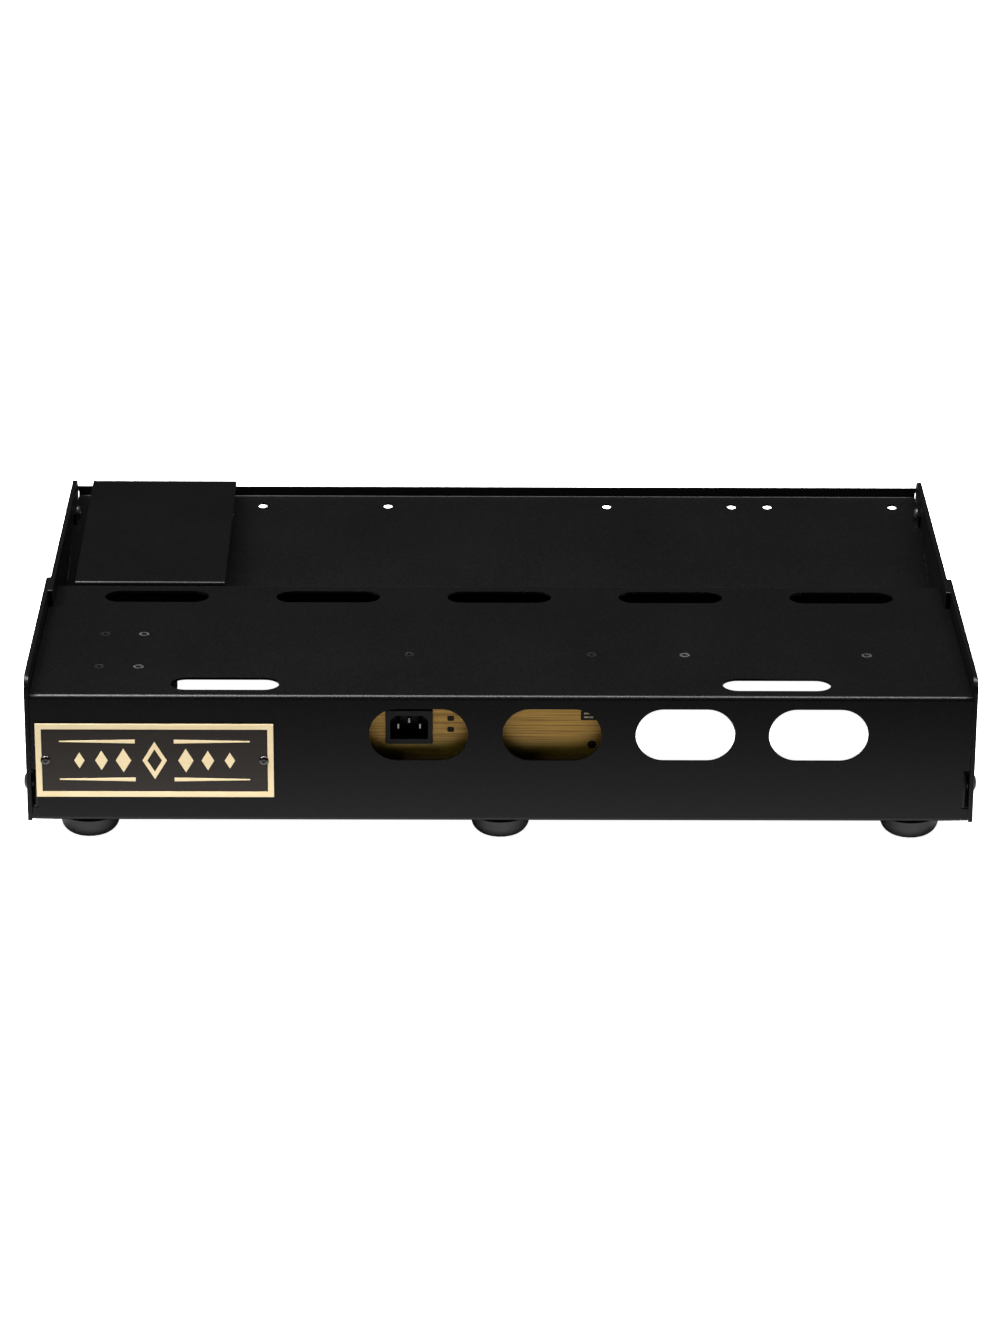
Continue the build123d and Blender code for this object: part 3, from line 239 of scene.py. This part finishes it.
def gold_satin():
    """Satin gold paint on the supply's cover, with level rolling marks, and painted shade by the bottom
    fold.
    """
    surface = Surface("gold_satin")
    surface.fixed(Metallic=0.35, Specular_IOR_Level=0.4)
    rolled = surface.noise(1.0, detail=4.0, coords=surface.stretched((14.0, 900.0, 1300.0)))
    cloud = surface.noise(30.0, detail=4.0)
    tone = surface.spread(surface.weighted(rolled, 0.8, cloud), low=0.38, high=0.56)
    paint = surface.mix(tone, (0.17, 0.089, 0.009), (0.37, 0.208, 0.034))
    place = surface.tree.nodes.new("ShaderNodeSeparateXYZ")
    surface.tree.links.new(surface.coords, place.inputs["Vector"])
    above_painted_shade = surface.spread(
        place.outputs["Z"], low=cover_low.z + GOLD_SHADE_LOW, high=cover_low.z + GOLD_SHADE_HIGH
    )
    # Painted shade: below these heights the paint turns to a darker gold, where the cover's bottom sits in
    # shade.
    surface.colour(above_painted_shade, (0.200, 0.130, 0.009), paint)
    surface.roughness(cloud, 0.38, 0.5)
    surface.relief(rolled, distance=0.02 * MM, strength=0.3)
    return surface.material


def nameplate_field():
    """Dark brown-black satin field with a horizontal brushed grain."""
    surface = Surface("nameplate_field")
    surface.fixed(Specular_IOR_Level=0.26, Specular_Tint=(1.0, 0.89, 0.83, 1.0))
    brushed = surface.noise(1.0, detail=4.0, coords=surface.stretched((25.0, 900.0, 1100.0)))
    surface.colour(brushed, (0.003, 0.002, 0.002), (0.010, 0.008, 0.007))
    surface.roughness(brushed, 0.30, 0.40)
    surface.relief(brushed, distance=0.02 * MM, strength=0.3)
    return surface.material


def nameplate_gold():
    """Cream-gold satin enamel of the border and the ornament."""
    surface = Surface("nameplate_gold")
    surface.fixed(Specular_IOR_Level=0.35)
    brushed = surface.noise(1.0, coords=surface.stretched((30.0, 900.0, 900.0)))
    cloud = surface.noise(55.0)
    tone = surface.spread(surface.weighted(brushed, 0.5, cloud))
    surface.colour(tone, (0.70, 0.555, 0.31), (0.77, 0.645, 0.40))
    surface.roughness(cloud, 0.36, 0.46)
    return surface.material


def label_ink(name, dark, light):
    """Screen print on the supply's front, a little uneven."""
    surface = Surface(name)
    surface.fixed(Specular_IOR_Level=0.08)
    blot = surface.noise(900.0)
    surface.colour(blot, dark, light)
    surface.roughness(blot, 0.45, 0.60)
    return surface.material


def rubber(name="foot_rubber", dark=(0.015, 0.015, 0.0155), light=(0.029, 0.029, 0.0295)):
    """Moulded rubber with a fine matte grain and a little dust."""
    surface = Surface(name)
    surface.fixed(Specular_IOR_Level=0.3)
    grain = surface.noise(1300.0, detail=4.0)
    dust = surface.noise(45.0, detail=5.0)
    surface.colour(surface.spread(dust, low=0.4), dark, light)
    surface.roughness(dust, 0.52, 0.68)
    surface.relief(grain, distance=0.04 * MM, strength=0.5)
    return surface.material


def moulded_plastic():
    """Moulded black plastic with a faint spark-eroded texture."""
    surface = Surface("moulded_plastic")
    surface.fixed(Specular_IOR_Level=0.12)
    spark = surface.noise(1600.0)
    surface.colour(spark, (0.004, 0.004, 0.0045), (0.009, 0.009, 0.0095))
    surface.roughness(spark, 0.36, 0.48)
    surface.relief(spark, distance=0.03 * MM, strength=0.4)
    return surface.material


def circuit_green():
    """Green solder mask over copper tracks."""
    surface = Surface("circuit_green")
    tracks = surface.tree.nodes.new("ShaderNodeTexBrick")
    tracks.inputs["Scale"].default_value = 120.0
    tracks.inputs["Mortar Size"].default_value = 0.03
    tracks.inputs["Color1"].default_value = (0.012, 0.085, 0.030, 1.0)
    tracks.inputs["Color2"].default_value = (0.018, 0.110, 0.040, 1.0)
    tracks.inputs["Mortar"].default_value = (0.030, 0.190, 0.075, 1.0)
    surface.tree.links.new(surface.coords, tracks.inputs["Vector"])
    surface.link(tracks.outputs["Color"], "Base Color")
    surface.roughness(surface.noise(300.0), 0.22, 0.34)
    return surface.material


def copper_winding():
    """Enamelled copper wire, wound round the transformer's ring."""
    surface = Surface("copper_winding")
    surface.fixed(Metallic=0.8)
    strands = surface.noise(1.0, detail=2.0, coords=surface.stretched((900.0, 900.0, 30.0)))
    surface.colour(strands, (0.30, 0.12, 0.04), (0.62, 0.29, 0.11))
    surface.roughness(strands, 0.28, 0.42)
    surface.relief(strands, distance=0.2 * MM, strength=0.6)
    return surface.material


def lamp_green():
    """Clear green lamp lens."""
    surface = Surface("lamp_green")
    surface.fixed(Transmission_Weight=0.4, IOR=1.49)
    tone = surface.noise(500.0)
    surface.colour(tone, (0.05, 0.40, 0.09), (0.10, 0.55, 0.15))
    surface.roughness(tone, 0.12, 0.20)
    return surface.material


slot_materials = {
    "powder_coat": powder_coat(),
    "black_screw": black_oxide(),
    "zinc": zinc_plate(),
    "gold_case": gold_satin(),
    "black_case": powder_coat("matte_case", (0.006, 0.006, 0.006), (0.010, 0.010, 0.010)),
    "name_field": nameplate_field(),
    "name_gold": nameplate_gold(),
    "foot_rubber": rubber(),
    "pad_rubber": rubber("pad_rubber", (0.012, 0.012, 0.012), (0.022, 0.022, 0.022)),
    "black_plastic": moulded_plastic(),
    "silver_pin": polished_nickel("silver_pin", (0.22, 0.22, 0.225)),
    "circuit_green": circuit_green(),
    "copper_winding": copper_winding(),
    "lamp_green": lamp_green(),
    "nickel": polished_nickel(),
}

# Nodes whose finish differs from the rest of their slot.
node_materials = {
    # Painted shade: the supply's base is a dark gold-brown copy of the gold cover, for the dim band under
    # its bottom fold.
    "supply_base": powder_coat("shaded_gold_case", (0.062, 0.041, 0.012), (0.118, 0.078, 0.024)),
    "nameplate_screws": dark_nickel(),
    "deck_flush_screws": black_oxide("painted_screw", (0.004, 0.004, 0.0045), (0.014, 0.014, 0.015)),
    "deck_clinch_nuts": zinc_plate("dull_zinc", (0.22, 0.225, 0.235), (0.36, 0.365, 0.375)),
}

for part in frame["record"]["subparts"]:
    mesh = nodes[part["node"]].data
    mesh.materials.clear()
    mesh.materials.append(node_materials.get(part["node"], slot_materials[part["material_slot"]]))


# ---------------------------------------------------------------- softened edges
EDGE_ROUND = 0.3 * MM
FINE_EDGE_ROUND = EDGE_ROUND / 2
SHARP_EDGE = math.radians(30.0)
WELD_GAP = 0.002 * MM


def soften_edges(node, width):
    """Rounds a node's sharp edges a little, so that they catch the light as real edges do."""
    piece = nodes[node]
    weld = piece.modifiers.new("weld", "WELD")
    weld.merge_threshold = WELD_GAP
    bevel = piece.modifiers.new("bevel", "BEVEL")
    bevel.width = width
    bevel.segments = 2
    bevel.limit_method = "ANGLE"
    bevel.angle_limit = SHARP_EDGE
    bevel.harden_normals = True


for node in (
    "front_shell",
    "left_cheek",
    "right_cheek",
    "left_side_plate",
    "right_side_plate",
    "rear_deck",
    "riser_plate",
):
    soften_edges(node, EDGE_ROUND)
for node in ("supply_inlet", "supply_cover", "nameplate_border", "nameplate_emblem", "nameplate_screws"):
    soften_edges(node, FINE_EDGE_ROUND)


# ---------------------------------------------------------------- print on the supply's front
PRINT_STEP = 0.04 * MM
PRINT_THICKNESS = 0.8 * PRINT_STEP
CORNER_STEPS = 6

# A dark label with two plain strokes, upper right on the cover.
LABEL_FROM_END = 27.3 * MM
LABEL_BELOW_TOP = 16.2 * MM
LABEL_SIZE = (12.5 * MM, 6.6 * MM)
LABEL_CORNER = 0.6 * MM
BAR_LENGTHS = (8.5 * MM, 6.0 * MM)
BAR_HEIGHT = 1.1 * MM
BAR_CORNER = 0.3 * MM
BAR_RISE = 1.3 * MM

# A round dot under the label.
DOT_RIGHT = 1.0 * MM
DOT_ABOVE_FOOT = 7.2 * MM
DOT_WIDTH = 5.6 * MM

# Two small marks, one over the other, right of the inlet.
MARK_GAP = 11.5 * MM
MARK_RISES = (5.4 * MM, -2.2 * MM)
MARK_SIZE = (4.4 * MM, 3.6 * MM)
MARK_CORNER = 1.1 * MM

dark_ink = label_ink("dark_ink", (0.007, 0.005, 0.003), (0.016, 0.012, 0.008))
cream_ink = label_ink("cream_ink", (0.30, 0.25, 0.15), (0.42, 0.36, 0.24))


def rounded_outline(width, height, corner):
    """Points round a rectangle whose corners are quarter circles."""
    points = []
    for quarter, (across, upward) in enumerate(((1, 1), (-1, 1), (-1, -1), (1, -1))):
        centre_x = across * (width / 2 - corner)
        centre_z = upward * (height / 2 - corner)
        for step in range(CORNER_STEPS + 1):
            angle = math.pi / 2 * (quarter + step / CORNER_STEPS)
            points.append((centre_x + corner * math.cos(angle), centre_z + corner * math.sin(angle)))
    return points


def printed_mark(name, x, z, size, corner, ink, layer=1):
    """A thin patch of print on the cover's front, riding on the board. Layers lie a step apart."""
    front = cover_low.y - layer * PRINT_STEP
    mesh = bpy.data.meshes.new(name)
    shape = bmesh.new()
    outline = [shape.verts.new((x + dx, front, z + dz)) for dx, dz in rounded_outline(*size, corner)]
    face = shape.faces.new(outline)
    sides = bmesh.ops.extrude_face_region(shape, geom=[face])
    moved = [item for item in sides["geom"] if isinstance(item, bmesh.types.BMVert)]
    bmesh.ops.translate(shape, verts=moved, vec=(0.0, PRINT_THICKNESS, 0.0))
    bmesh.ops.recalc_face_normals(shape, faces=shape.faces)
    shape.to_mesh(mesh)
    shape.free()
    mesh.materials.append(ink)
    patch = bpy.data.objects.new(name, mesh)
    bpy.context.scene.collection.objects.link(patch)
    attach(patch, "board")


label_x = cover_high.x - LABEL_FROM_END
label_z = cover_high.z - LABEL_BELOW_TOP
bars_left = label_x - BAR_LENGTHS[0] / 2
printed_mark("supply_label", label_x, label_z, LABEL_SIZE, LABEL_CORNER, dark_ink)
for number, (length, rise) in enumerate(zip(BAR_LENGTHS, (BAR_RISE, -BAR_RISE))):
    bar_name = f"supply_label_bar_{number}"
    bar_size = (length, BAR_HEIGHT)
    printed_mark(bar_name, bars_left + length / 2, label_z + rise, bar_size, BAR_CORNER, cream_ink, layer=2)

dot_z = cover_low.z + DOT_ABOVE_FOOT
printed_mark("supply_dot", label_x + DOT_RIGHT, dot_z, (DOT_WIDTH, DOT_WIDTH), DOT_WIDTH / 2, dark_ink)

marks_x = inlet_high.x + MARK_GAP
inlet_middle_z = (inlet_low.z + inlet_high.z) / 2
for number, rise in enumerate(MARK_RISES):
    printed_mark(f"inlet_mark_{number}", marks_x, inlet_middle_z + rise, MARK_SIZE, MARK_CORNER, dark_ink)


# ---------------------------------------------------------------- camera
VIEW_PITCH = math.radians(22.0)
VIEW_YAW = math.radians(0.55)
VIEW_ROLL = math.radians(0.34)
VIEW_DISTANCE = 3.167
AIM_RIGHT = 0.85 * MM
AIM_ABOVE_PANEL_BOTTOM = 35.35 * MM
CLIP_END = 100.0

# As Blender asks for them, these two are in millimetres.
LENS = 126.95
SENSOR_WIDTH = 36.0


def add_camera():
    """A long lens in front of the board, looking down on it from the player's side."""
    aim = Vector((AIM_RIGHT, front_y + board_depth / 2, panel_bottom + AIM_ABOVE_PANEL_BOTTOM))
    forward = Vector((
        math.sin(VIEW_YAW) * math.cos(VIEW_PITCH),
        math.cos(VIEW_YAW) * math.cos(VIEW_PITCH),
        -math.sin(VIEW_PITCH),
    ))
    level = Vector((math.cos(VIEW_YAW), -math.sin(VIEW_YAW), 0.0))
    upright = level.cross(forward)
    right = level * math.cos(VIEW_ROLL) + upright * math.sin(VIEW_ROLL)
    up = upright * math.cos(VIEW_ROLL) - level * math.sin(VIEW_ROLL)
    turn = Matrix((right, up, -forward)).transposed().to_4x4()
    data = bpy.data.cameras.new("camera")
    data.lens = LENS
    data.sensor_width = SENSOR_WIDTH
    data.clip_end = CLIP_END
    camera = bpy.data.objects.new("camera", data)
    camera.matrix_world = Matrix.Translation(aim - forward * VIEW_DISTANCE) @ turn
    bpy.context.scene.collection.objects.link(camera)
    bpy.context.scene.camera = camera


add_camera()


# ---------------------------------------------------------------- floor
FLOOR_HALF = 40.0

# The sheet that throws light back at the board lies a little below the floor.
BOUNCE_HALF = 3.0
BOUNCE_BELOW = 1.0 * MM

# Its light depends on the distance outward from a rectangle just inside the board's edge. It rises
# from none to BOUNCE_NEAR over BOUNCE_RISE, and falls to BOUNCE_FAR from BOUNCE_LIT to BOUNCE_EDGE.
BOUNCE_INSET = 0.01
BOUNCE_RISE = 0.012
BOUNCE_LIT = 0.05
BOUNCE_EDGE = 0.26
BOUNCE_NEAR = 2.5
BOUNCE_FAR = 0.08


def level_sheet(name, half_size, height):
    """A level square, part of the stage, with an emissive material."""
    mesh = bpy.data.meshes.new(name)
    corners = [(x * half_size, y * half_size, height) for x, y in ((-1, -1), (1, -1), (1, 1), (-1, 1))]
    mesh.from_pydata(corners, [], [(0, 1, 2, 3)])
    sheet = bpy.data.objects.new(name, mesh)
    bpy.context.scene.collection.objects.link(sheet)
    surface = Surface(name)
    surface.fixed(Base_Color=(0.8, 0.8, 0.8, 1.0), Roughness=0.9, Emission_Color=(1.0, 1.0, 1.0, 1.0))
    mesh.materials.append(surface.material)
    return sheet, surface


def seen_floor():
    """The pale floor as the camera sees it: plain, without a shadow."""
    sheet, surface = level_sheet("floor", FLOOR_HALF, 0.0)
    surface.fixed(Emission_Strength=1.0)
    sheet.visible_diffuse = False
    sheet.visible_glossy = False


def vector_step(surface, operation, first):
    """A vector maths node with its first input linked to a vector."""
    node = surface.tree.nodes.new("ShaderNodeVectorMath")
    node.operation = operation
    surface.tree.links.new(first, node.inputs[0])
    return node


def bounce_floor():
    """The floor as the object sees it: lit all round the board, and dark under it."""
    sheet, surface = level_sheet("floor_bounce", BOUNCE_HALF, -BOUNCE_BELOW)
    sheet.visible_camera = False
    away = vector_step(surface, "ABSOLUTE", surface.coords)
    beyond = vector_step(surface, "SUBTRACT", away.outputs["Vector"])
    beyond.inputs[1].default_value = (half_width - BOUNCE_INSET, -front_y - BOUNCE_INSET, BOUNCE_BELOW)
    outside = vector_step(surface, "MAXIMUM", beyond.outputs["Vector"])
    distance = vector_step(surface, "LENGTH", outside.outputs["Vector"]).outputs["Value"]
    rise = surface.spread(distance, 0.0, BOUNCE_NEAR, low=0.0, high=BOUNCE_RISE)
    fall = surface.spread(distance, 1.0, BOUNCE_FAR / BOUNCE_NEAR, low=BOUNCE_LIT, high=BOUNCE_EDGE)
    surface.link(surface.combine("MULTIPLY", rise, fall), "Emission Strength")


seen_floor()
bounce_floor()


# ---------------------------------------------------------------- light
WORLD_LIGHT = 0.03


def softbox(name, place, size, power, aim):
    """Rectangular soft light aimed at a point."""
    data = bpy.data.lights.new(name, "AREA")
    data.shape = "RECTANGLE"
    data.size, data.size_y = size
    data.energy = power
    light = bpy.data.objects.new(name, data)
    light.location = place
    light.rotation_euler = (Vector(aim) - Vector(place)).to_track_quat("-Z", "Y").to_euler()
    light.visible_camera = False
    bpy.context.scene.collection.objects.link(light)


softbox(
    "overhead",
    place=(0.0, front_y + 0.05, 1.95),
    size=(3.4, 0.5),
    power=285.0,
    aim=(0.0, front_y, deck_top),
)
softbox(
    "left_side",
    place=(-1.2, -0.35, 1.6),
    size=(1.0, 1.0),
    power=75.0,
    aim=(0.0, 0.0, deck_top),
)
softbox(
    "backdrop",
    place=(0.0, 2.2, 0.15),
    size=(1.2, 0.3),
    power=0.6,
    aim=(0.0, 0.0, deck_top),
)


def studio_world():
    """A white backdrop for the camera that lights the object only a little."""
    world = bpy.data.worlds.new("studio")
    world.use_nodes = True
    tree = world.node_tree
    dim = tree.nodes["Background"]
    bright = tree.nodes.new("ShaderNodeBackground")
    for backdrop, strength in ((dim, WORLD_LIGHT), (bright, 1.0)):
        backdrop.inputs["Color"].default_value = (1.0, 1.0, 1.0, 1.0)
        backdrop.inputs["Strength"].default_value = strength
    path = tree.nodes.new("ShaderNodeLightPath")
    choice = tree.nodes.new("ShaderNodeMixShader")
    tree.links.new(path.outputs["Is Camera Ray"], choice.inputs[0])
    tree.links.new(dim.outputs["Background"], choice.inputs[1])
    tree.links.new(bright.outputs["Background"], choice.inputs[2])
    tree.links.new(choice.outputs["Shader"], tree.nodes["World Output"].inputs["Surface"])
    bpy.context.scene.world = world


studio_world()

# Colours come out as lit, without a film look.
bpy.context.scene.view_settings.view_transform = "Standard"
